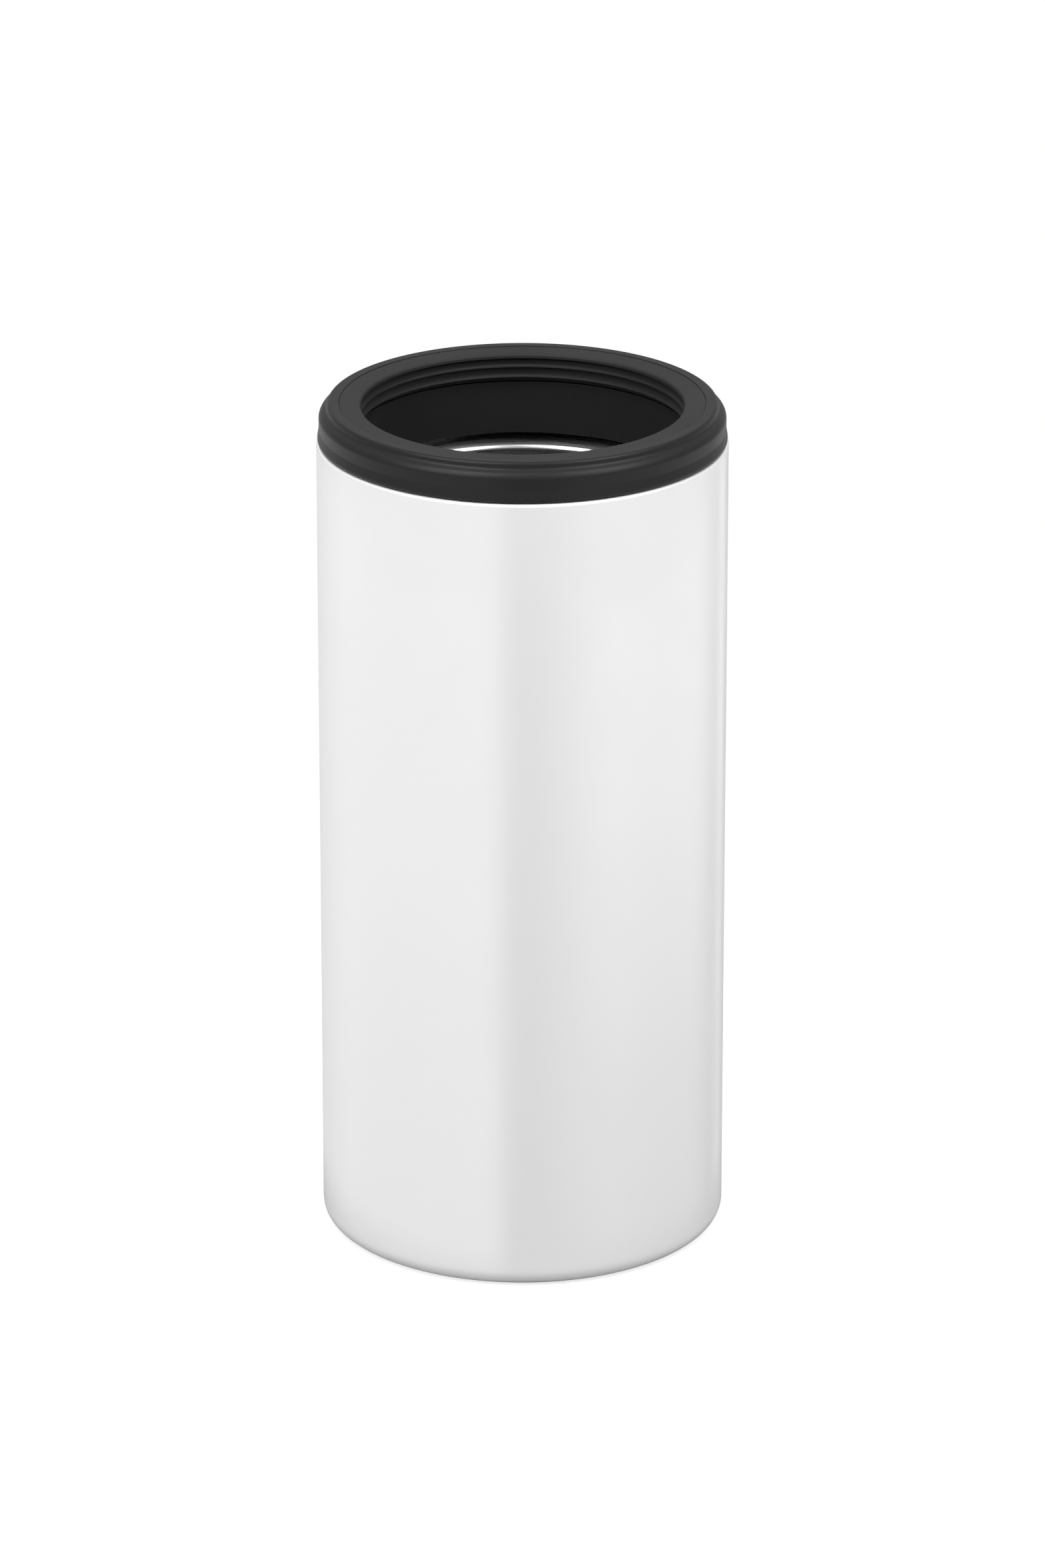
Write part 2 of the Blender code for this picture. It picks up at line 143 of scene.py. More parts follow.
@dataclass(frozen=True)
class Section:
    """Section of a turned piece; it is a ring, or it starts and ends on the axis."""

    corners: tuple[Corner, ...]
    arc_rows: int = 8
    tight_bend: float = 0.0005
    support_share: float = 0.2
    arc_share: float = 0.9

    @property
    def on_axis(self) -> bool:
        """Whether the section starts and ends on the axis."""
        return self.corners[0].radius == 0 and self.corners[-1].radius == 0

    def arcs(self) -> np.ndarray:
        """Points of every corner's arc.

        With u and v the unit vectors into and out of a corner and t the turn from u to v, the arc
        of radius b starts b * tan(|t| / 2) before the corner. Its points are its centre plus the
        first spoke turned by s * t, with s from 0 to 1. Where two arcs want more than most of the run
        between them, both are tightened by the same share.

        Returns:
            An array of corners, by points of an arc, by (radius, height).
        """
        spots = np.array([(corner.radius, corner.height) for corner in self.corners])
        bends = np.array([corner.bend for corner in self.corners])
        into = spots - np.roll(spots, 1, axis=0)
        out = np.roll(spots, -1, axis=0) - spots
        length_in, length_out = np.linalg.norm(into, axis=1), np.linalg.norm(out, axis=1)
        into /= length_in[:, None]
        out /= length_out[:, None]
        turn = np.arctan2(into[:, 0] * out[:, 1] - into[:, 1] * out[:, 0], np.sum(into * out, axis=1))
        opening = np.tan(np.abs(turn) / 2)
        wanted = bends * opening
        room_in = length_in / (wanted + np.roll(wanted, 1))
        room_out = length_out / (wanted + np.roll(wanted, -1))
        reach = wanted * np.minimum(self.arc_share * np.minimum(room_in, room_out), 1)
        side = np.sign(turn) * reach / opening
        spoke = np.column_stack([into[:, 1], -into[:, 0]]) * side[:, None]
        centre = spots - into * reach[:, None] - spoke
        angle = turn[:, None] * np.linspace(0, 1, self.arc_rows + 1)
        turned_spoke = np.stack([
            spoke[:, :1] * np.cos(angle) - spoke[:, 1:] * np.sin(angle),
            spoke[:, :1] * np.sin(angle) + spoke[:, 1:] * np.cos(angle),
        ], axis=-1)
        return centre[:, None, :] + turned_spoke

    def outline(self) -> Outline:
        """Rows of the mesh along the section.

        The arcs are joined by straight runs. A run has a row one chord from each of its arcs, so
        that smooth shading leaves its middle flat, and its corner's rows evenly between those two.

        Returns:
            The rows, with an edge value that swells from 0 to 1 and back over each tight arc.
        """
        arcs = list(self.arcs())
        swell = np.sin(np.linspace(0, math.pi, self.arc_rows + 1))
        edges = [swell * (corner.bend < self.tight_bend) for corner in self.corners]
        if self.on_axis:
            for index in (0, -1):
                corner = self.corners[index]
                arcs[index] = np.array([(corner.radius, corner.height)])
                edges[index] = np.zeros(1)
        points, edge = [], []
        for index, corner in enumerate(self.corners):
            points.append(arcs[index])
            edge.append(edges[index])
            following = (index + 1) % len(arcs)
            if self.on_axis and following == 0:
                continue
            start, end = arcs[index][-1], arcs[following][0]
            length = np.linalg.norm(end - start)
            chord = np.linalg.norm(arcs[index][-1] - arcs[index][-2:][0])
            next_chord = np.linalg.norm(arcs[following][0] - arcs[following][:2][-1])
            first = min(chord / length, self.support_share) or self.support_share
            last = 1 - (min(next_chord / length, self.support_share) or self.support_share)
            share = np.linspace(first, last, corner.rows + 2)[:, None]
            points.append(start * (1 - share) + end * share)
            edge.append(np.zeros(len(share)))
        rows = np.concatenate(points)
        along = np.cumsum(np.linalg.norm(np.diff(rows, axis=0, prepend=rows[:1]), axis=1))
        return Outline(rows[:, 0], rows[:, 1], along, np.concatenate(edge))


def pressed(path: list[Corner], sheet: float, end_bend: float = 0.00015, least_bend: float = 0.25) -> Section:
    """Section of a sheet pressed along a path, with its thickness on the path's left.

    A corner of the other side lies sheet / (1 + u.v) times the sum of the two left normals away,
    with u and v the unit vectors into and out of it, and its bend is opened or tightened by the
    sheet's thickness.

    Args:
        path: The corners of the near side, in order.
        sheet: The sheet's thickness.
        end_bend: The rounding of the sheet's cut ends.
        least_bend: The other side's tightest bend, as a share of the thickness.

    Returns:
        The section, started at the axis where the path reaches it.
    """
    near = list(path)
    spots = np.array([(corner.radius, corner.height) for corner in near])
    runs = np.diff(spots, axis=0)
    runs /= np.linalg.norm(runs, axis=1)[:, None]
    into, out = np.vstack([runs[:1], runs]), np.vstack([runs, runs[-1:]])
    share = sheet / (1 + np.sum(into * out, axis=1))
    left = np.column_stack([-(into + out)[:, 1], (into + out)[:, 0]])
    other = spots + left * share[:, None]
    turn = into[:, 0] * out[:, 1] - into[:, 1] * out[:, 0]
    bends = [corner.bend - math.copysign(sheet, bent) for corner, bent in zip(near, turn)]
    far = [
        Corner(float(spot[0]), float(spot[1]), max(bend, sheet * least_bend), before.rows)
        for spot, bend, before in zip(other, bends, near[:1] + near[:-1])
    ]
    for side in (near, far):
        for index in (0, -1):
            side[index] = replace(side[index], bend=end_bend)
    corners = near + far[::-1]
    for index, corner in enumerate(corners):
        if abs(corner.radius) < SAME_PLACE:
            corners[index] = replace(corner, radius=0.0)
    if corners[len(near) - 1].radius == 0:
        corners = corners[len(near):] + corners[:len(near)]
    return Section(tuple(corners))


@dataclass(frozen=True)
class Thread:
    """Right-hand ridges on a wall, one for each start."""

    base: float
    first_angle: float
    foot_width: float
    crest_width: float
    depth: float = 0.0010
    starts: int = 2
    lead: float = 0.0060
    turns: float = 0.9
    run_out: float = 1 / 12

    def rise(self, angle: np.ndarray, height: np.ndarray) -> np.ndarray:
        """How far the ridges stand out of the wall.

        A start's ridge passes an angle a, counted in turns from where it begins, at the height
        base + lead * a. Across the ridge the rise falls from the crest to the foot along an eased
        ramp, and it fades in and out over the run-out at the ridge's two ends.

        Args:
            angle: Angles round the axis, in radians.
            height: Heights of the same points.

        Returns:
            The rise at each point.
        """
        rise = np.zeros(np.broadcast(angle, height).shape)
        for start in range(self.starts):
            turned = ((angle - self.first_angle) / (2 * math.pi) - start / self.starts) % 1
            across = np.abs(height - self.base - self.lead * turned)
            ramp = np.clip((self.foot_width / 2 - across) / (self.foot_width - self.crest_width) * 2, 0, 1)
            fade = np.clip(np.minimum(turned, self.turns - turned) / self.run_out, 0, 1)
            rise = np.maximum(rise, self.depth * eased(ramp) * eased(fade))
        return rise


def eased(share: np.ndarray) -> np.ndarray:
    """A share from 0 to 1 that starts and ends gently: s * s * (3 - 2 * s)."""
    return share * share * (3 - 2 * share)


def in_scene(name: str, data: bpy.types.ID) -> bpy.types.Object:
    """A new object of a mesh, lamp or camera, linked to the scene.

    Args:
        name: The object's name.
        data: What it shows.

    Returns:
        The object.
    """
    item = bpy.data.objects.new(name, data)
    bpy.context.scene.collection.objects.link(item)
    return item


@dataclass(frozen=True)
class TurnedPiece:
    """A piece that a section makes when it is carried round an upright axis."""

    name: str
    node: str
    body: Body
    slot: Slot
    section: Section
    relief: Relief | None = None
    centre: Span = (0.0, 0.0)
    columns: int = 240

    def mesh(self) -> bpy.types.Mesh:
        """The turned surface.

        A point at the angle a and the section's radius r and height h lies at
        (r * cos a, r * sin a, h) from the centre, with r moved by the relief. A row on the axis is
        one point. The section's direction decides which way round a face is listed, so that all
        faces point outwards.

        Returns:
            The mesh, with the attributes "along" and "edge" on its points.
        """
        outline = self.section.outline()
        angle = np.linspace(0, 2 * math.pi, self.columns, endpoint=False)[None, :]
        radius = np.repeat(outline.radius[:, None], self.columns, axis=1)
        height = np.repeat(outline.height[:, None], self.columns, axis=1)
        if self.relief:
            radius = radius + self.relief(angle, radius, height)
        places = np.stack([
            self.centre[0] + radius * np.cos(angle), self.centre[1] + radius * np.sin(angle), height,
        ], axis=-1)
        kept = np.ones(radius.shape, bool)
        kept[outline.radius == 0, 1:] = False
        index = np.cumsum(kept).reshape(kept.shape) - 1
        data = bpy.data.meshes.new(self.name)
        data.from_pydata(places[kept].tolist(), [], self.faces(index, outline.turns_left()))
        for name, values in (("along", outline.along), ("edge", outline.edge)):
            spread = np.repeat(values[:, None], self.columns, axis=1)[kept]
            data.attributes.new(name, "FLOAT", "POINT").data.foreach_set("value", spread.astype(np.float32))
        data.shade_smooth()
        data.update()
        return data

    def faces(self, index: np.ndarray, turns_left: bool) -> list[list[int]]:
        """Faces between neighbouring rows and columns.

        Args:
            index: The point at each row and column.
            turns_left: Whether the section runs anticlockwise.

        Returns:
            Four corners of each face, or three where the face meets the axis.
        """
        upper, lower = index, np.roll(index, -1, axis=0)
        if self.section.on_axis:
            upper, lower = upper[:-1], lower[:-1]
        quads = np.stack([upper, np.roll(upper, -1, axis=1), np.roll(lower, -1, axis=1), lower], axis=-1)
        if not turns_left:
            quads = quads[..., ::-1]
        return [list(dict.fromkeys(quad)) for quad in quads.reshape(-1, 4).tolist()]

    def make(self, material: bpy.types.Material) -> bpy.types.Object:
        """Puts the piece in the scene in place of its node.

        Args:
            material: Its finish.

        Returns:
            The new object.
        """
        item = in_scene(self.name, self.mesh())
        item.data.materials.append(material)
        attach(item, self.body.value)
        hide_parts(self.node)
        LOG.info("%s: %d faces, rides on %s", self.name, len(item.data.polygons), self.body.value)
        return item


class Extent(NamedTuple):
    """Lowest and highest corner of a node's box in the frame."""

    low: Vector
    high: Vector

    @property
    def radius(self) -> float:
        """How far the node reaches from the axis."""
        return self.high.x

    @property
    def foot(self) -> float:
        """Height of the node's lowest point."""
        return self.low.z

    @property
    def top(self) -> float:
        """Height of the node's highest point."""
        return self.high.z


@dataclass(frozen=True)
class SteelBody:
    """The double-wall body: painted shell, liner with its rolled thread, and the closed foot."""

    shell: Extent
    liner: Extent
    pan: Extent
    cover: Extent
    getter: Extent
    bead: Extent
    thread_base: float
    skirt_foot: float
    sheet: float = 0.0005
    piece_gap: float = 0.0003
    seam_gap: float = 0.00004
    vacuum_space: float = 0.0063
    shoulder_bend: float = 0.0005
    foot_bend: float = 0.0028
    hem_bend: float = 0.0008
    hem_height: float = 0.0030
    neck_slope: float = 0.0020
    neck_bend: float = 0.0010
    well_bend: float = 0.0040
    pan_bend: float = 0.0010
    dimple_radius: float = 0.0055
    dimple_floor_radius: float = 0.0032
    dimple_depth: float = 0.0014
    dimple_bend: float = 0.0006
    pumping_hole_radius: float = 0.0008
    cover_bend: float = 0.0010
    dish_radius: float = 0.0240
    dish_slope: float = 0.0010
    dish_depth: float = 0.0005
    dish_bend: float = 0.0008
    bead_flat_share: float = 0.75
    bead_foot_bend: float = 0.25
    bead_side_bend: float = 0.125
    getter_bend: float = 0.25
    rolled_foot_width: float = 0.0019
    rolled_crest_width: float = 0.0008
    wall_rows: int = 8
    thread_rows: int = 80
    well_rows: int = 12
    foot_rows: int = 10
    small_columns: int = 64

    @classmethod
    def from_frame(cls, collar: ScrewCollar) -> SteelBody:
        """Reads the driving sizes from the frame.

        Args:
            collar: The collar that screws into the body.

        Returns:
            The body with the frame's sizes.
        """
        return cls(
            shell=Extent(*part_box("outer_shell")),
            liner=Extent(*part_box("inner_liner")),
            pan=Extent(*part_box("outer_base")),
            cover=Extent(*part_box("base_cover")),
            getter=Extent(*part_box("getter")),
            bead=Extent(*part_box("vacuum_bead")),
            thread_base=collar.thread_base,
            skirt_foot=collar.ring.foot,
        )

    @property
    def mouth_radius(self) -> float:
        """Radius of the liner's mouth, between its threads."""
        return self.liner.radius - self.sheet

    def rolled_thread(self, narrower: float = 0.0) -> Thread:
        """The thread rolled into the liner's mouth, a quarter turn past the collar's ridges."""
        return Thread(
            base=self.thread_base,
            first_angle=math.pi / 2,
            foot_width=self.rolled_foot_width - narrower,
            crest_width=self.rolled_crest_width - narrower,
        )

    def liner_relief(self, angle: np.ndarray, radius: np.ndarray, height: np.ndarray) -> np.ndarray:
        """Rolled beads on the mouth's wall: its near side moves in, and its far side follows.

        Args:
            angle: Angles round the axis, in radians.
            radius: Radii of the same points.
            height: Their heights.

        Returns:
            How far each point moves outwards.
        """
        near = self.rolled_thread().rise(angle, height)
        far = self.rolled_thread(narrower=self.sheet).rise(angle, height)
        on_near = np.abs(radius - self.mouth_radius) < SAME_PLACE
        on_far = np.abs(radius - self.mouth_radius - self.sheet) < SAME_PLACE
        return -near * on_near - far * on_far

    def shell_section(self) -> Section:
        """Straight tube with a bent foot, a hem, and a mouth rolled in."""
        hem = self.pan.radius + self.seam_gap
        return pressed([
            Corner(hem, self.hem_height),
            Corner(hem, 0, self.hem_bend),
            Corner(self.shell.radius, 0, self.foot_bend, self.wall_rows),
            Corner(self.shell.radius, self.shell.top, self.shoulder_bend),
            Corner(self.liner.radius + self.seam_gap, self.shell.top),
        ], self.sheet)

    def liner_section(self) -> Section:
        """Drawn cup with a round foot, widened at the neck for the thread.

        Returns:
            The liner's section.
        """
        well = self.shell.radius - 2 * self.sheet - self.vacuum_space
        well_floor = self.liner.foot + self.sheet
        neck = self.skirt_foot - 2 * self.piece_gap
        return pressed([
            Corner(self.mouth_radius, self.shell.top, rows=self.thread_rows),
            Corner(self.mouth_radius, neck, self.neck_bend),
            Corner(well, neck - self.neck_slope, self.neck_bend, self.wall_rows),
            Corner(well, well_floor, self.well_bend, self.well_rows),
            Corner(0, well_floor),
        ], self.sheet)

    def pan_section(self) -> Section:
        """Flanged pan with the dimple and the hole through which the air was drawn."""
        flat = self.pan.top - self.dimple_depth
        return pressed([
            Corner(self.pan.radius, self.pan.foot),
            Corner(self.pan.radius, flat, self.pan_bend, self.foot_rows),
            Corner(self.dimple_radius, flat, self.dimple_bend),
            Corner(self.dimple_floor_radius, self.pan.top, self.dimple_bend),
            Corner(self.pumping_hole_radius, self.pan.top),
        ], self.sheet)

    def cover_section(self) -> Section:
        """Shallow cap with a dished middle.

        Returns:
            The cover's section.
        """
        dish = self.cover.foot + self.dish_depth
        wall = self.pan.radius - self.sheet - self.seam_gap
        return pressed([
            Corner(0, dish, rows=self.foot_rows),
            Corner(self.dish_radius, dish, self.dish_bend),
            Corner(self.dish_radius + self.dish_slope, self.cover.foot, self.dish_bend),
            Corner(wall, self.cover.foot, self.cover_bend),
            Corner(wall, self.cover.top),
        ], self.sheet)

    def bead_section(self) -> Section:
        """Drop of glass, flat above and domed below; its bends are shares of its radius."""
        radius, foot, top = self.bead.radius, self.bead.foot, self.bead.top
        return Section((
            Corner(0, foot),
            Corner(radius * self.bead_flat_share, foot, radius * self.bead_foot_bend),
            Corner(radius, (foot + top) / 2, radius * self.bead_side_bend),
            Corner(radius, top),
            Corner(0, top),
        ))

    def getter_section(self) -> Section:
        """Pressed pill whose bends are shares of its height.

        Returns:
            The getter's section.
        """
        low, high = self.getter
        radius, bend = (high.x - low.x) / 2, (high.z - low.z) * self.getter_bend
        return Section((
            Corner(0, low.z), Corner(radius, low.z, bend), Corner(radius, high.z, bend), Corner(0, high.z),
        ))

    def pieces(self) -> list[tuple[TurnedPiece, bpy.types.Material]]:
        """The body's pieces with their finishes.

        Returns:
            Each piece and its material.
        """
        paint = PaintFinish(rim_height=self.shell.top).material("gloss_paint")
        drawn = SteelFinish().material("drawn_steel")
        spun = SteelFinish(line_width=0.00022, roughness=0.34, depth=3.0e-6).material("spun_steel")
        glass = GlassFinish().material("sealing_glass")
        sinter = SinterFinish().material("sintered_metal")
        cooler, steel, few = Body.COOLER, Slot.STEEL, self.small_columns
        middle = (self.getter.low + self.getter.high) / 2
        return [
            (TurnedPiece("painted_shell", "outer_shell", cooler, Slot.PAINT, self.shell_section()), paint),
            (TurnedPiece("steel_liner", "inner_liner", cooler, steel, self.liner_section(),
                         self.liner_relief), drawn),
            (TurnedPiece("foot_pan", "outer_base", cooler, steel, self.pan_section()), spun),
            (TurnedPiece("foot_cover", "base_cover", cooler, steel, self.cover_section()), spun),
            (TurnedPiece("glass_bead", "vacuum_bead", cooler, Slot.GLASS, self.bead_section(),
                         columns=few), glass),
            (TurnedPiece("getter_pill", "getter", cooler, Slot.SINTER, self.getter_section(),
                         centre=(middle.x, middle.y), columns=few), sinter),
        ]


@dataclass(frozen=True)
class ScrewCollar:
    """The collar with its thread, the gasket that it carries, and the seal beneath it."""

    shell: Extent
    ring: Extent
    gasket: Extent
    seal: Extent
    piece_gap: float = 0.0003
    skirt_wall: float = 0.0015
    skirt_chamfer: float = 0.0005
    skirt_lead_in: float = 0.0014
    ridge_foot_width: float = 0.0016
    ridge_crest_width: float = 0.0008
    lip_height: float = 0.0006
    lip_flare: float = 0.00025
    lip_bend: float = 0.0003
    flare_height: float = 0.0015
    crown_width: float = 0.00205
    crown_bend: float = 0.0006
    crown_slope: float = 0.00022
    cove_bend: float = 0.0007
    ledge_drop: float = 0.00115
    ledge_width: float = 0.00088
    ledge_fall: float = 0.00058
    ledge_chamfer: float = 0.00066
    ledge_bend: float = 0.0016
    gasket_flange: float = 0.00085
    gasket_flange_thickness: float = 0.0018
    gasket_wall: float = 0.0017
    gasket_fall: float = 0.00025
    gasket_swell: float = 0.00026
    grip_reach: float = 0.0010
    grip_tip: float = 0.0003
    grip_foot: float = 0.0009
    lower_grips: int = 2
    nose_height: float = 0.0008
    nose_slope: float = 0.0006
    nose_bend: float = 0.0005
    seal_width: float = 0.0011
    seal_bend: float = 0.0003
    moulded_edge: float = 0.00007
    thread_rows: int = 110
    bore_rows: int = 8
    nose_rows: int = 6

    @classmethod
    def from_frame(cls) -> ScrewCollar:
        """The collar with the driving sizes of the frame."""
        return cls(
            shell=Extent(*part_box("outer_shell")),
            ring=Extent(*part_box("collar")),
            gasket=Extent(*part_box("gasket")),
            seal=Extent(*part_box("rim_seal")),
        )

    @property
    def gasket_body_radius(self) -> float:
        """Outer radius of the gasket under its flange."""
        return self.gasket.radius - self.gasket_flange

    @property
    def gasket_bore(self) -> float:
        """Radius of the gasket between its grips."""
        return self.gasket_body_radius - self.gasket_wall

    @property
    def skirt_radius(self) -> float:
        """Outer radius of the skirt, between its ridges."""
        return self.gasket_bore + self.skirt_wall

    @property
    def thread_base(self) -> float:
        """Height at which the ridges begin."""
        return self.ring.foot + self.skirt_lead_in

    def ridges(self, angle: np.ndarray, radius: np.ndarray, height: np.ndarray) -> np.ndarray:
        """Ridges on the skirt's outer wall."""
        thread = Thread(self.thread_base, 0.0, self.ridge_foot_width, self.ridge_crest_width)
        return thread.rise(angle, height) * (np.abs(radius - self.skirt_radius) < SAME_PLACE)

    def ring_section(self) -> Section:
        """Stepped crown and flared lip outside, gasket seat inside, seal channel and skirt below.

        Returns:
            The collar's section.
        """
        gap, edge, bore, skirt = self.piece_gap, self.moulded_edge, self.gasket_bore, self.skirt_radius
        top, foot, lip = self.ring.top, self.ring.foot, self.ring.radius
        seat = self.gasket.radius + gap
        crown = seat + self.crown_width
        cove = crown + self.crown_slope
        ledge = top - self.ledge_drop
        ledge_edge = ledge - self.ledge_fall
        wall = lip - self.lip_flare
        lip_foot = self.shell.top + gap
        lip_top = lip_foot + self.lip_height
        channel_out, channel_in = self.seal.radius + gap, self.seal.radius - self.seal_width - gap
        channel_top = self.seal.top + gap
        body_seat = self.gasket_body_radius + gap
        body_foot = self.gasket.foot - gap
        flange_seat = self.gasket.top - self.gasket_flange_thickness - gap
        return Section((
            Corner(seat, top, edge),
            Corner(crown, top, self.crown_bend),
            Corner(cove, ledge, self.cove_bend),
            Corner(cove + self.ledge_width, ledge_edge, self.ledge_bend),
            Corner(wall, ledge_edge - self.ledge_chamfer, self.ledge_bend),
            Corner(wall, lip_top + self.flare_height, self.flare_height),
            Corner(lip, lip_top, self.lip_bend),
            Corner(lip, lip_foot, self.lip_bend),
            Corner(channel_out, lip_foot, edge),
            Corner(channel_out, channel_top, edge),
            Corner(channel_in, channel_top, edge),
            Corner(channel_in, lip_foot, edge),
            Corner(skirt, lip_foot, edge, self.thread_rows),
            Corner(skirt, foot + self.skirt_chamfer, edge),
            Corner(skirt - self.skirt_chamfer, foot, edge),
            Corner(bore, foot, edge, self.bore_rows),
            Corner(bore, body_foot, edge),
            Corner(body_seat, body_foot, edge),
            Corner(body_seat, flange_seat, edge),
            Corner(seat, flange_seat, edge),
        ))

    def gasket_section(self) -> Section:
        """Flange, body, lower grips and a rounded nose at the top edge.

        Returns:
            The gasket's section.
        """
        top, foot = self.gasket.top, self.gasket.foot
        body, bore = self.gasket_body_radius, self.gasket_bore
        grip = bore - self.grip_reach
        flange = self.gasket.radius + self.gasket_swell
        flange_base = top - self.gasket_flange_thickness
        nose_top = top - self.gasket_fall
        nose_foot = nose_top - self.nose_height - self.nose_slope
        corners = [
            Corner(grip, nose_top, self.nose_bend, self.nose_rows),
            Corner(flange, top, self.moulded_edge),
            Corner(flange, flange_base),
            Corner(body, flange_base),
            Corner(body, foot),
            Corner(bore, foot),
        ]
        spacing = (nose_foot - foot) / self.lower_grips
        for number in range(self.lower_grips):
            middle = foot + (number + 0.5) * spacing
            corners += [
                Corner(bore, middle - self.grip_foot / 2),
                Corner(grip, middle - self.grip_tip / 2),
                Corner(grip, middle + self.grip_tip / 2),
                Corner(bore, middle + self.grip_foot / 2),
            ]
        corners += [Corner(bore, nose_foot), Corner(grip, nose_top - self.nose_height, self.moulded_edge)]
        return Section(tuple(corners))

    def seal_section(self) -> Section:
        """Small ring, round where it meets the rim."""
        outer, inner = self.seal.radius, self.seal.radius - self.seal_width
        return Section((
            Corner(inner, self.seal.foot, self.seal_bend),
            Corner(outer, self.seal.foot, self.seal_bend),
            Corner(outer, self.seal.top),
            Corner(inner, self.seal.top),
        ))

    def pieces(self) -> list[tuple[TurnedPiece, bpy.types.Material]]:
        """The collar's pieces with their finishes.

        Returns:
            Each piece and its material.
        """
        plastic = MouldedFinish().material("black_plastic")
        soft = MouldedFinish(
            colour=(0.019, 0.019, 0.020), pale=(0.028, 0.028, 0.029), roughness=0.62, grain=0.00020,
            depth=6.0e-6, wear=0.10, shine=0.20,
        ).material("grey_rubber")
        black = MouldedFinish(
            colour=(0.012, 0.012, 0.012), pale=(0.018, 0.018, 0.018), roughness=0.70, grain=0.00018,
            depth=5.0e-6, wear=0.05, shine=0.30,
        ).material("black_rubber")
        collar, seal = Body.COLLAR, Body.SEAL
        return [
            (TurnedPiece("collar_moulding", "collar", collar, Slot.PLASTIC, self.ring_section(),
                         self.ridges), plastic),
            (TurnedPiece("grip_gasket", "gasket", collar, Slot.GASKET, self.gasket_section()), soft),
            (TurnedPiece("rim_washer", "rim_seal", seal, Slot.SEAL, self.seal_section()), black),
        ]


class Nodes:
    """A node tree while it is built."""

    def __init__(self, tree: bpy.types.NodeTree) -> None:
        """Takes the tree that the nodes go into."""
        self.tree = tree

    def add(self, kind: str, inputs: dict[str | int, object] | None = None,
            **settings: object) -> bpy.types.Node:
        """Adds a node.

        Args:
            kind: The node's type, without the words that all shader nodes begin with.
            inputs: A value or a socket for each input, by its name or number.
            **settings: The node's own properties.

        Returns:
            The new node.
        """
        node = self.tree.nodes.new(kind if kind.startswith("Node") else f"ShaderNode{kind}")
        for name, value in settings.items():
            setattr(node, name, value)
        for key, value in (inputs or {}).items():
            if isinstance(value, Socket):
                self.tree.links.new(value, node.inputs[key])
            else:
                node.inputs[key].default_value = value
        return node

    def math(self, operation: str, first: object, second: object = 0.0) -> Socket:
        """The result of a Math node on two values or sockets."""
        return self.add("Math", {0: first, 1: second}, operation=operation).outputs[0]

    def ramp(self, value: Socket, low: float, high: float,
             out_low: float = 0.0, out_high: float = 1.0) -> Socket:
        """A value eased from one range to another, and held at its ends."""
        node = self.add("MapRange", {
            "Value": value, "From Min": low, "From Max": high, "To Min": out_low, "To Max": out_high,
        }, interpolation_type="SMOOTHSTEP")
        return node.outputs["Result"]

    def blend(self, factor: Socket, first: object, second: object) -> Socket:
        """A colour that goes from one colour or socket to another."""
        first, second = (item if isinstance(item, Socket) else (*item, 1.0) for item in (first, second))
        return self.add("Mix", {"Factor": factor, 6: first, 7: second}, data_type="RGBA").outputs[2]

    def place(self) -> Socket:
        """Object coordinates."""
        return self.add("TexCoord").outputs["Object"]

    def noise(self, size: float | Socket, detail: float = 2.0) -> Socket:
        """Noise from about 0 to 1, with features of a size in metres."""
        scale = self.math("DIVIDE", 1.0, size)
        return self.add("TexNoise", {"Vector": self.place(), "Scale": scale, "Detail": detail}).outputs["Fac"]

    def effect(self, effect: Effect, **values: float) -> Outputs:
        """Places a shared effect with its own values.

        Args:
            effect: Which effect.
            **values: Its inputs, with low lines for the spaces in their names.

        Returns:
            The effect's results.
        """
        node = self.add("Group", node_tree=effect_tree(effect))
        for name, value in values.items():
            node.inputs[name.replace("_", " ").title()].default_value = value
        return node.outputs

    def drift(self, size: float, contrast: float) -> Socket:
        """Slow change over the surface, from about 0 to 1."""
        return self.effect(Effect.TONE_DRIFT, size=size, contrast=contrast)[0]

    def bump(self, height: Socket, depth: float) -> Socket:
        """Normals of a height pattern that is so many metres deep."""
        return self.add("Bump", {"Height": height, "Distance": depth, "Strength": 1.0}).outputs["Normal"]

    def glow(self, strength: float | Socket) -> Socket:
        """White light given off by the surface."""
        return self.add("Emission", {"Color": WHITE, "Strength": strength}).outputs[0]

    def rays(self) -> tuple[Socket, Socket]:
        """Whether a ray comes from the camera, and whether it comes off gloss or through glass."""
        path = self.add("LightPath").outputs
        return path["Is Camera Ray"], self.math("MAXIMUM", *(path[f"Is {way} Ray"] for way in INDIRECT))


def effect_tree(effect: Effect) -> bpy.types.NodeTree:
    """The node group of an effect, built when it is first asked for.

    Args:
        effect: Which effect.

    Returns:
        Its node group.
    """
    known = bpy.data.node_groups.get(effect.value)
    if known:
        return known
    inputs, outputs, build = EFFECTS[effect]
    tree = bpy.data.node_groups.new(effect.value, "ShaderNodeTree")
    for name, value in inputs.items():
        socket = tree.interface.new_socket(name, in_out="INPUT", socket_type="NodeSocketFloat")
        socket.default_value = value
    for name in outputs:
        tree.interface.new_socket(name, in_out="OUTPUT", socket_type="NodeSocketFloat")
    nodes = Nodes(tree)
    given = nodes.add("NodeGroupInput")
    nodes.add("NodeGroupOutput", dict(zip(outputs, build(nodes, given.outputs))))
    return tree


def tone_drift(nodes: Nodes, given: Outputs) -> list[Socket]:
    """Slow change over the surface: 0.5 plus noise of a size, times a contrast.

    Args:
        nodes: The group's nodes.
        given: The group's inputs.

    Returns:
        The tone.
    """
    noise = nodes.noise(given["Size"], detail=1.0)
    swing = nodes.math("MULTIPLY", nodes.math("SUBTRACT", noise, 0.5), given["Contrast"])
    return [nodes.math("ADD", swing, 0.5)]


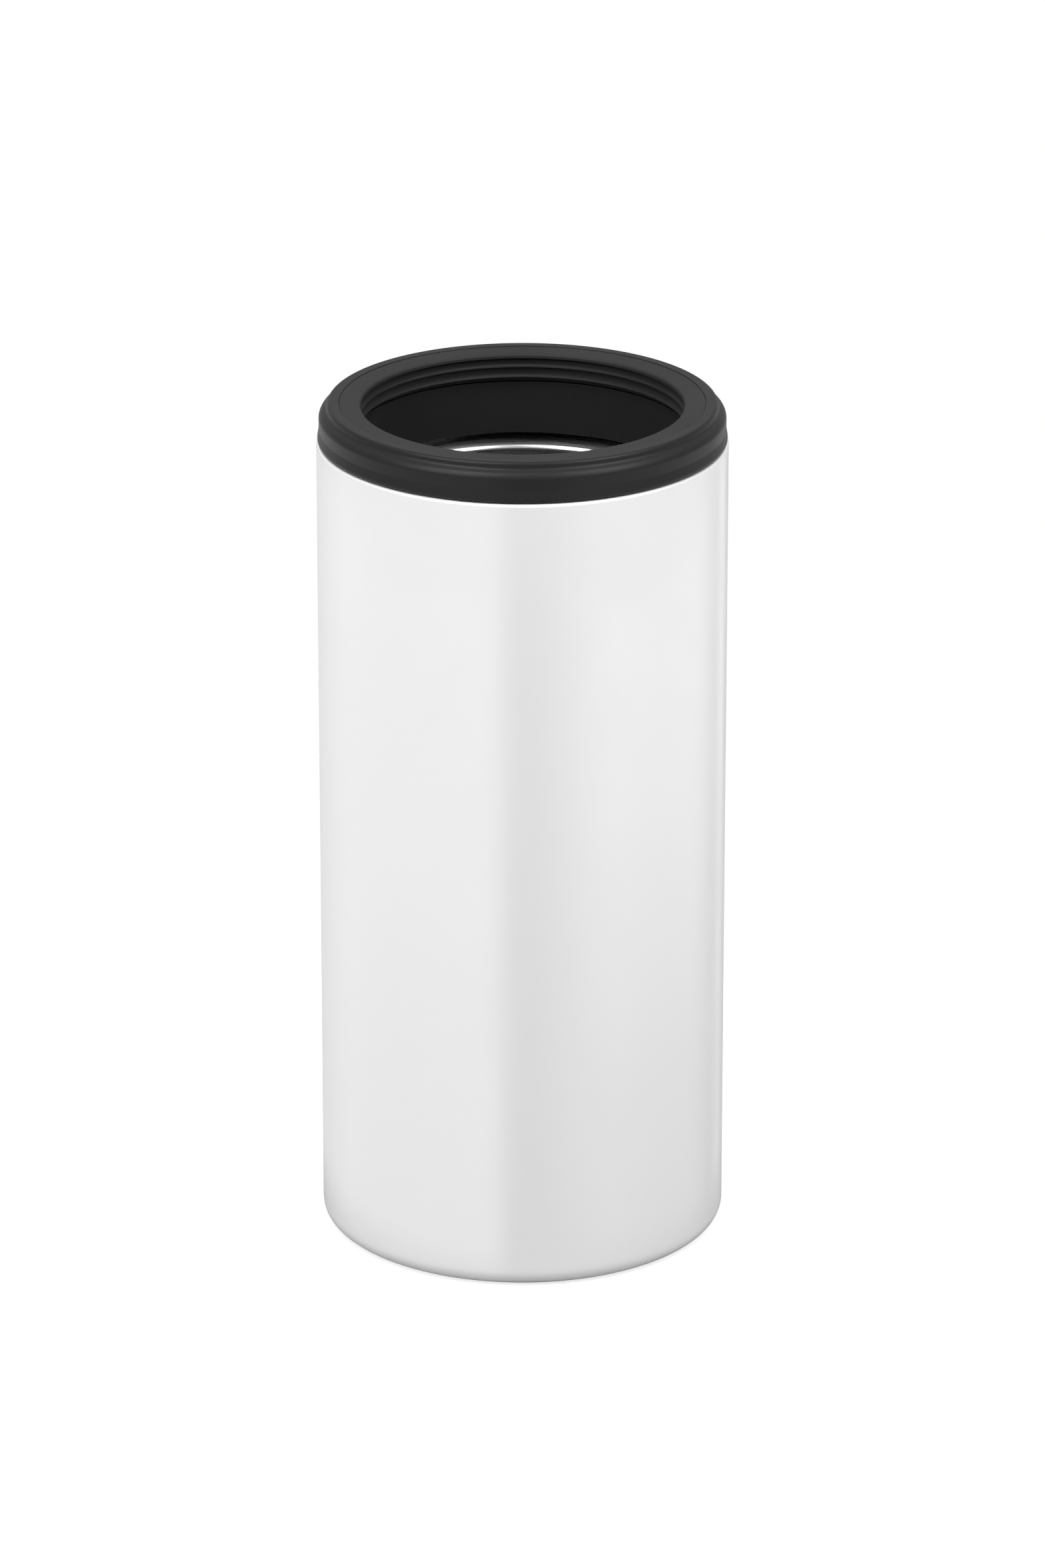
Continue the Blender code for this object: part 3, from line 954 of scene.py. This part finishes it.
def turned_grain(nodes: Nodes, given: Outputs, fine_share: float = 0.6,
                 coarseness: float = 5.0) -> list[Socket]:
    """Lines round the axis, fine and coarse: noise long round it and narrow along the section.

    Args:
        nodes: The group's nodes.
        given: The group's inputs.
        fine_share: The fine lines' share of the mix.
        coarseness: How many times wider the coarse lines are.

    Returns:
        The grain.
    """
    along = nodes.add("Attribute", attribute_name="along").outputs["Fac"]
    cut = nodes.add("SeparateXYZ", {0: nodes.place()}).outputs
    mixed = 0.0
    for widening, share in ((1.0, fine_share), (coarseness, 1 - fine_share)):
        vector = nodes.add("CombineXYZ", {
            0: nodes.math("DIVIDE", cut[0], given["Streak Length"]),
            1: nodes.math("DIVIDE", cut[1], given["Streak Length"]),
            2: nodes.math("DIVIDE", along, nodes.math("MULTIPLY", given["Line Width"], widening)),
        }).outputs[0]
        lines = nodes.add("TexNoise", {"Vector": vector, "Scale": 1.0, "Detail": 2.0}).outputs["Fac"]
        mixed = nodes.math("ADD", mixed, nodes.math("MULTIPLY", lines, share))
    return [mixed]


def mould_texture(nodes: Nodes, given: Outputs, share: float = 0.6,
                  smoothness: float = 0.8) -> list[Socket]:
    """Fine pebbles of a spark-eroded mould: smooth cells and noise, each times a share.

    Args:
        nodes: The group's nodes.
        given: The group's inputs.
        share: The share of each.
        smoothness: How far the cells run together.

    Returns:
        The height.
    """
    scale = nodes.math("DIVIDE", 1.0, given["Grain"])
    cells = nodes.add("TexVoronoi", {"Vector": nodes.place(), "Scale": scale, "Smoothness": smoothness},
                      feature="SMOOTH_F1").outputs["Distance"]
    both = nodes.math("ADD", cells, nodes.noise(given["Grain"], detail=3.0))
    return [nodes.math("MULTIPLY", both, share)]


def edge_wear(nodes: Nodes, given: Outputs, whole: float = 0.35,
              worn: float = 0.7) -> list[Socket]:
    """Rubbed edges: the points' edge value, broken by noise and scaled by an amount.

    Args:
        nodes: The group's nodes.
        given: The group's inputs.
        whole: The noise up to which an edge is whole.
        worn: The noise from which it is worn.

    Returns:
        The worn places.
    """
    edge = nodes.add("Attribute", attribute_name="edge").outputs["Fac"]
    broken = nodes.ramp(nodes.noise(given["Breakup"], detail=3.0), whole, worn)
    return [nodes.math("MULTIPLY", nodes.math("MULTIPLY", edge, broken), given["Amount"])]


def axis_place(nodes: Nodes, given: Outputs, fray_size: float = 0.0012) -> list[Socket]:
    """Distance from the axis and height, each shifted by noise that frays a boundary.

    Args:
        nodes: The group's nodes.
        given: The group's inputs.
        fray_size: The size of the noise's features.

    Returns:
        The distance and the height.
    """
    cut = nodes.add("SeparateXYZ", {0: nodes.place()}).outputs
    flat = nodes.add("CombineXYZ", {0: cut[0], 1: cut[1]}).outputs[0]
    radius = nodes.add("VectorMath", {0: flat}, operation="LENGTH").outputs["Value"]
    swing = nodes.math("SUBTRACT", nodes.noise(fray_size, detail=3.0), 0.5)
    fray = nodes.math("MULTIPLY", swing, given["Fray"])
    return [nodes.math("ADD", radius, fray), nodes.math("ADD", cut[2], fray)]


EFFECTS = {
    Effect.TONE_DRIFT: ({"Size": 0.03, "Contrast": 1.0}, ("Tone",), tone_drift),
    Effect.TURNED_GRAIN: ({"Line Width": 0.0001, "Streak Length": 0.02}, ("Grain",), turned_grain),
    Effect.MOULD_TEXTURE: ({"Grain": 0.0002}, ("Height",), mould_texture),
    Effect.EDGE_WEAR: ({"Amount": 0.2, "Breakup": 0.004}, ("Mask",), edge_wear),
    Effect.AXIS_PLACE: ({"Fray": 0.0003}, ("Radius", "Height"), axis_place),
}


class Finish:
    """What every finish does: a material with one Principled shader."""

    def material(self, name: str) -> bpy.types.Material:
        """The finish as a material.

        Args:
            name: The material's name.

        Returns:
            The material.
        """
        made = bpy.data.materials.new(name)
        made.use_nodes = True
        nodes = Nodes(made.node_tree)
        inputs = made.node_tree.nodes["Principled BSDF"].inputs
        for key, value in self.dress(nodes).items():
            if isinstance(value, Socket):
                made.node_tree.links.new(value, inputs[key])
            else:
                inputs[key].default_value = value
        return made

    def dress(self, nodes: Nodes) -> Inputs:
        """Builds the finish's patterns, and gives the shader's inputs by name."""
        raise NotImplementedError


@dataclass(frozen=True)
class PaintFinish(Finish):
    """White gloss paint over steel, with a faint orange peel, that ends on the rim and the hem."""

    rim_height: float
    colour: Colour = (0.845, 0.846, 0.845)
    pale: Colour = (0.875, 0.876, 0.873)
    steel: Colour = (0.60, 0.60, 0.61)
    edge_tone: Colour = (0.70, 0.70, 0.70)
    tone_size: float = 0.045
    tone_contrast: float = 1.2
    gloss_index: float = 2.05
    roughness: Span = (0.15, 0.25)
    gloss_size: float = 0.012
    gloss_contrast: float = 1.4
    steel_roughness: float = 0.34
    peel_size: float = 0.0014
    peel_detail: float = 1.5
    peel_depth: float = 2.5e-6
    wear: float = 0.35
    wear_breakup: float = 0.003
    rim_paint_radius: float = 0.0345
    foot_paint_radius: float = 0.0318
    change_height: float = 0.001
    fray: float = 0.0004
    fade: float = 0.0005

    def dress(self, nodes: Nodes) -> Inputs:
        """Paint where the surface lies outside the rim's and the hem's paint edges, steel elsewhere.

        Args:
            nodes: The material's nodes.

        Returns:
            The shader's inputs.
        """
        radius, height = nodes.effect(Effect.AXIS_PLACE, fray=self.fray)
        middle = self.rim_height / 2
        edge = nodes.ramp(height, middle, middle + self.change_height,
                          self.foot_paint_radius, self.rim_paint_radius)
        painted = nodes.ramp(nodes.math("SUBTRACT", radius, edge), -self.fade, self.fade)
        tone = nodes.drift(self.tone_size, self.tone_contrast)
        wear = nodes.effect(Effect.EDGE_WEAR, amount=self.wear, breakup=self.wear_breakup)[0]
        paint = nodes.blend(wear, nodes.blend(tone, self.colour, self.pale), self.edge_tone)
        peel = nodes.noise(self.peel_size, detail=self.peel_detail)
        gloss = nodes.ramp(nodes.drift(self.gloss_size, self.gloss_contrast), 0, 1, *self.roughness)
        rough = nodes.add("Mix", {"Factor": painted, "A": self.steel_roughness, "B": gloss}).outputs[0]
        return {
            "Base Color": nodes.blend(painted, self.steel, paint), "Roughness": rough,
            "Metallic": nodes.math("SUBTRACT", 1.0, painted), "IOR": self.gloss_index,
            "Normal": nodes.bump(peel, self.peel_depth),
        }


@dataclass(frozen=True)
class SteelFinish(Finish):
    """Bare stainless steel with fine lines round the axis."""

    colour: Colour = (0.56, 0.56, 0.57)
    pale: Colour = (0.68, 0.68, 0.69)
    tone_size: float = 0.02
    tone_contrast: float = 0.8
    tone_span: Span = (0.3, 0.7)
    roughness: float = 0.28
    roughness_swing: float = 0.08
    grain_span: Span = (0.25, 0.75)
    line_width: float = 0.00014
    streak_length: float = 0.016
    depth: float = 2.0e-6

    def dress(self, nodes: Nodes) -> Inputs:
        """Grain in the colour, the roughness and the height.

        Args:
            nodes: The material's nodes.

        Returns:
            The shader's inputs.
        """
        grain = nodes.effect(Effect.TURNED_GRAIN, line_width=self.line_width,
                             streak_length=self.streak_length)[0]
        tone = nodes.math("ADD", grain, nodes.drift(self.tone_size, self.tone_contrast))
        mixed = nodes.ramp(nodes.math("MULTIPLY", tone, 0.5), *self.tone_span)
        rough = nodes.ramp(grain, *self.grain_span, self.roughness + self.roughness_swing,
                           self.roughness - self.roughness_swing)
        return {
            "Base Color": nodes.blend(mixed, self.colour, self.pale), "Metallic": 1.0,
            "Roughness": rough, "Normal": nodes.bump(grain, self.depth),
        }


@dataclass(frozen=True)
class MouldedFinish(Finish):
    """Moulded plastic or rubber with a fine mould texture and faintly polished edges."""

    colour: Colour = (0.0150, 0.0150, 0.0153)
    pale: Colour = (0.0190, 0.0190, 0.0195)
    edge_tone: Colour = (0.030, 0.030, 0.031)
    tone_size: float = 0.018
    tone_contrast: float = 1.2
    roughness: float = 0.37
    roughness_swing: float = 0.05
    texture_span: Span = (0.2, 0.9)
    polished: float = 0.32
    grain: float = 0.00022
    depth: float = 5.0e-6
    wear: float = 0.30
    wear_breakup: float = 0.005
    shine: float = 0.16

    def dress(self, nodes: Nodes) -> Inputs:
        """Slow and fine changes of tone, pebbles in the height, and smoother, paler edges.

        Args:
            nodes: The material's nodes.

        Returns:
            The shader's inputs.
        """
        tone = nodes.drift(self.tone_size, self.tone_contrast)
        height = nodes.effect(Effect.MOULD_TEXTURE, grain=self.grain)[0]
        wear = nodes.effect(Effect.EDGE_WEAR, amount=self.wear, breakup=self.wear_breakup)[0]
        base = nodes.blend(wear, nodes.blend(tone, self.colour, self.pale), self.edge_tone)
        matt = nodes.ramp(height, *self.texture_span, self.roughness - self.roughness_swing,
                          self.roughness + self.roughness_swing)
        rough = nodes.add("Mix", {"Factor": wear, "A": matt, "B": self.polished}).outputs[0]
        return {
            "Base Color": base, "Roughness": rough, "Specular IOR Level": self.shine,
            "Normal": nodes.bump(height, self.depth),
        }


@dataclass(frozen=True)
class GlassFinish(Finish):
    """Dark sealing glass with a flowed surface."""

    colour: Colour = (0.06, 0.065, 0.07)
    pale: Colour = (0.14, 0.15, 0.16)
    tone_size: float = 0.0012
    tone_contrast: float = 1.6
    roughness: Span = (0.10, 0.22)
    coat: float = 0.5
    flow_size: float = 0.0009
    flow_depth: float = 3.0e-5

    def dress(self, nodes: Nodes) -> Inputs:
        """Clouded tone and a gentle flow in the height.

        Args:
            nodes: The material's nodes.

        Returns:
            The shader's inputs.
        """
        tone = nodes.drift(self.tone_size, self.tone_contrast)
        flow = nodes.noise(self.flow_size, detail=1.0)
        return {
            "Base Color": nodes.blend(tone, self.colour, self.pale), "Coat Weight": self.coat,
            "Roughness": nodes.ramp(tone, 0, 1, *self.roughness),
            "Normal": nodes.bump(flow, self.flow_depth),
        }


@dataclass(frozen=True)
class SinterFinish(Finish):
    """Dull sintered metal powder."""

    colour: Colour = (0.22, 0.21, 0.20)
    pale: Colour = (0.38, 0.37, 0.35)
    metal_share: float = 0.6
    roughness: Span = (0.70, 0.90)
    texture_span: Span = (0.2, 0.9)
    grain: float = 0.00035
    depth: float = 4.0e-5

    def dress(self, nodes: Nodes) -> Inputs:
        """Grains in the colour and the height.

        Args:
            nodes: The material's nodes.

        Returns:
            The shader's inputs.
        """
        height = nodes.effect(Effect.MOULD_TEXTURE, grain=self.grain)[0]
        tone = nodes.ramp(height, *self.texture_span)
        return {
            "Base Color": nodes.blend(tone, self.colour, self.pale), "Metallic": self.metal_share,
            "Roughness": nodes.ramp(height, 0, 1, *self.roughness),
            "Normal": nodes.bump(height, self.depth),
        }


@dataclass(frozen=True)
class Softbox:
    """Soft studio lamp that the camera doesn't see, and gloss only where in_gloss says so."""

    name: str
    place: tuple[float, float, float]
    width: float
    height: float
    power: float
    target: tuple[float, float, float] = (0.0, 0.0, 0.10)
    in_gloss: bool = True

    def hang(self) -> None:
        """Adds the lamp to the scene."""
        data = bpy.data.lights.new(self.name, "AREA")
        data.shape = "RECTANGLE"
        data.size, data.size_y = self.width, self.height
        data.energy = self.power
        lamp = in_scene(self.name, data)
        lamp.location = self.place
        direction = Vector(self.target) - Vector(self.place)
        lamp.rotation_euler = direction.to_track_quat("-Z", "Y").to_euler()
        lamp.visible_camera = False
        lamp.visible_glossy = self.in_gloss


@dataclass(frozen=True)
class PaintedPool:
    """Painted pool of light: a glow on part of the floor that only the body's gloss shows to the camera.

    start and end are places across the body, from -1 at its left edge to 1 at its right edge, and
    the two fades are how wide a strip it takes to come up before the start and to go down after
    the end. The strength falls to a share of itself, near_share, from far_radius in to the axis,
    and past the reach to another, past_share.
    """

    start: float
    end: float
    strength: float
    fade_in: float
    fade_out: float
    near_share: float = 1.0
    far_radius: float = 0.30
    reach: float = 0.43
    reach_fade: float = 0.14
    past_share: float = 0.35

    def level(self, nodes: Nodes, across: Socket, radius: Socket) -> Socket:
        """The painted glow's strength, by the place across the body and the distance from the axis.

        Args:
            nodes: The floor's nodes.
            across: The place across the body.
            radius: The distance from the axis.

        Returns:
            The strength.
        """
        rise = nodes.ramp(across, self.start - self.fade_in, self.start)
        fall = nodes.ramp(across, self.end, self.end + self.fade_out, 1.0, 0.0)
        # painted light: the glow is dimmer near the object, a painted shade there, and dimmer past the reach
        strength = nodes.ramp(radius, 0.0, self.far_radius, self.strength * self.near_share, self.strength)
        kept = nodes.ramp(radius, self.reach, self.reach + self.reach_fade, 1.0, self.past_share)
        strip = nodes.math("MULTIPLY", rise, fall)
        return nodes.math("MULTIPLY", strip, nodes.math("MULTIPLY", strength, kept))


@dataclass(frozen=True)
class Studio:
    """Pale floor with painted pools of light for gloss, white background and soft lamps."""

    ambient: float = 0.31
    gloss_level: float = 0.48
    floor_colour: Colour = (0.36, 0.36, 0.36)
    floor_radius: float = 9.0
    floor_drop: float = 0.00004
    floor_rings: int = 60
    floor_columns: int = 96
    shadow_radius: float = 0.10
    white_radius: float = 0.30
    shown_lift: float = 0.74
    # painted pools of light: floor glow that only gloss sees, bright bands left and right of a dimmer gap
    painted_pools: tuple[PaintedPool, ...] = (
        PaintedPool(-0.82, -0.18, 1.12, 0.31, 0.16, near_share=0.95),
        PaintedPool(0.50, 0.82, 1.34, 0.52, 0.18, near_share=0.38, far_radius=0.34),
        PaintedPool(0.955, 1.0, 0.18, 0.04, 0.01),
        PaintedPool(0.965, 0.975, 0.50, 0.02, 0.012, near_share=0.4, far_radius=0.34),
    )
    # painted glow that gloss sees on the floor between the pools, and the radius from which it starts
    painted_gap_glow: float = 0.40
    painted_glow_radius: float = 0.057
    body_radius: float = 0.0365
    place_steps: int = 4
    lamps: tuple[Softbox, ...] = (
        Softbox("high_left_lamp", (-0.27, -0.27, 0.90), 0.40, 0.40, 2.8),
        Softbox("high_right_lamp", (0.42, -0.16, 0.86), 0.40, 0.40, 2.25),
        Softbox("left_lamp", (-0.42, -0.40, 0.60), 0.50, 0.50, 2.9),
        Softbox("right_lamp", (0.46, -0.34, 0.60), 0.50, 0.50, 2.45),
        Softbox("back_lamp", (0.0, 1.00, 0.55), 1.20, 0.50, 4.6, (0.0, 0.0, 0.07), in_gloss=False),
    )

    def build(self) -> None:
        """Hangs the lamps, lays the floor and sets the world."""
        for lamp in self.lamps:
            lamp.hang()
        self.lay_floor()
        self.set_world()
        bpy.context.scene.view_settings.view_transform = "Standard"

    def set_world(self) -> None:
        """White to the camera, duller to gloss, and a plain pale light elsewhere."""
        scene = bpy.context.scene
        scene.world = scene.world or bpy.data.worlds.new("studio")
        scene.world.use_nodes = True
        nodes = Nodes(scene.world.node_tree)
        nodes.tree.nodes.clear()
        camera, gloss = nodes.rays()
        in_gloss = nodes.math("MULTIPLY", gloss, self.gloss_level - self.ambient)
        level = nodes.math("MAXIMUM", nodes.math("ADD", in_gloss, self.ambient), camera)
        light = nodes.add("Background", {"Color": WHITE, "Strength": level})
        nodes.add("OutputWorld", {"Surface": light.outputs[0]})

    def shown_across(self, nodes: Nodes, radius: Socket) -> Socket:
        """Where across the body, from -1 to 1, the camera sees a point of the floor reflected; it places the
        painted pools.

        The camera is far off on -Y. The body's side at the angle p from -Y mirrors it along the
        direction 2 * p, so a floor point at the angle a and the distance r from the axis is seen
        where p = (a + asin(R / r * sin p)) / 2, with R the body's radius. Each step puts the last p
        into this, from p = a / 2 on.

        Args:
            nodes: The floor's nodes.
            radius: The floor point's distance from the axis.

        Returns:
            The sine of p.
        """
        cut = nodes.add("SeparateXYZ", {0: nodes.place()}).outputs
        angle = nodes.math("ARCTAN2", cut[0], nodes.math("MULTIPLY", cut[1], -1.0))
        nearness = nodes.math("MINIMUM", nodes.math("DIVIDE", self.body_radius, radius), 1.0)
        across = nodes.math("SINE", nodes.math("MULTIPLY", angle, 0.5))
        for _ in range(self.place_steps):
            lean = nodes.math("ARCSINE", nodes.math("MULTIPLY", nearness, across))
            across = nodes.math("SINE", nodes.math("MULTIPLY", nodes.math("ADD", angle, lean), 0.5))
        return across

    def floor_material(self) -> bpy.types.Material:
        """Pale matt floor that shows its shadow near the object, and plain white farther off.

        Gloss sees painted light in it: a glow at the gap's level everywhere, and the painted pools of light
        on top.

        Returns:
            The material.
        """
        material = bpy.data.materials.new("floor")
        material.use_nodes = True
        nodes = Nodes(material.node_tree)
        nodes.tree.nodes.clear()
        camera, gloss = nodes.rays()
        radius = nodes.add("VectorMath", {0: nodes.place()}, operation="LENGTH").outputs["Value"]
        matt = nodes.add("BsdfDiffuse", {"Color": (*self.floor_colour, 1)}).outputs[0]
        lift = nodes.glow(nodes.math("MULTIPLY", camera, self.shown_lift))
        near = nodes.add("AddShader", {0: matt, 1: lift}).outputs[0]
        far = nodes.math("MULTIPLY", nodes.ramp(radius, self.shadow_radius, self.white_radius), camera)
        seen = nodes.add("MixShader", {0: far, 1: near, 2: nodes.glow(1.0)}).outputs[0]
        across = self.shown_across(nodes, radius)
        # painted light: the floor's glow for gloss, the painted gap level plus each painted pool
        level = self.painted_gap_glow
        for painted_pool in self.painted_pools:
            level = nodes.math("ADD", level, painted_pool.level(nodes, across, radius))
        off_foot = nodes.ramp(radius, self.painted_glow_radius / 2, self.painted_glow_radius)
        in_gloss = nodes.math("MULTIPLY", off_foot, gloss)
        # gloss rays away from the foot see the painted glow in place of the floor
        whole = nodes.add("MixShader", {0: in_gloss, 1: seen, 2: nodes.glow(level)})
        nodes.add("OutputMaterial", {"Surface": whole.outputs[0]})
        return material

    def lay_floor(self) -> None:
        """A flat disc: rings whose radius grows as the square of their number."""
        share = np.linspace(0, 1, self.floor_rings + 1)[1:, None]
        angle = np.linspace(0, 2 * math.pi, self.floor_columns, endpoint=False)[None, :]
        radius = self.floor_radius * share ** 2
        level = np.full((self.floor_rings, self.floor_columns), -self.floor_drop)
        points = np.stack([radius * np.cos(angle), radius * np.sin(angle), level], axis=-1).reshape(-1, 3)
        index = np.arange(len(points)).reshape(self.floor_rings, self.floor_columns)
        inner, outer = index[:-1], index[1:]
        quads = np.stack([inner, outer, np.roll(outer, -1, axis=1), np.roll(inner, -1, axis=1)], axis=-1)
        data = bpy.data.meshes.new("floor")
        data.from_pydata(points.tolist(), [], [index[0].tolist()] + quads.reshape(-1, 4).tolist())
        data.materials.append(self.floor_material())
        floor = in_scene("floor", data)


@dataclass(frozen=True)
class PhotoCamera:
    """Camera at the photograph's viewing angle, in front of the cooler and above it.

    scale is how many pixels of the photograph a millimetre takes at the camera's aim.
    """

    distance: float = 1.400
    pitch: float = math.radians(20.75)
    aim_height: float = 0.0827
    scale: float = 8.34
    image_height: int = 2352
    sensor: float = 36.0
    clip: Span = (0.01, 100.0)

    def place(self) -> None:
        """Adds the camera and makes it the scene's."""
        data = bpy.data.cameras.new("camera")
        data.sensor_width = self.sensor
        focal_pixels = self.scale * self.distance * 1000
        data.lens = focal_pixels / self.image_height * self.sensor
        data.clip_start, data.clip_end = self.clip
        camera = in_scene("camera", data)
        back = Vector((0, -math.cos(self.pitch), math.sin(self.pitch)))
        camera.location = Vector((0, 0, self.aim_height)) + back * self.distance
        camera.rotation_euler = (math.pi / 2 - self.pitch, 0, 0)
        bpy.context.scene.camera = camera


def main() -> None:
    """Loads the frame, builds the pieces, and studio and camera."""
    logging.basicConfig(level=logging.INFO, format="%(name)s: %(message)s")
    for item in list(bpy.data.objects):
        bpy.data.objects.remove(item, do_unlink=True)
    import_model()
    PhotoCamera().place()
    Studio().build()
    collar = ScrewCollar.from_frame()
    body = SteelBody.from_frame(collar)
    for piece, finish in body.pieces() + collar.pieces():
        piece.make(finish)


if __name__ == "__main__":
    main()
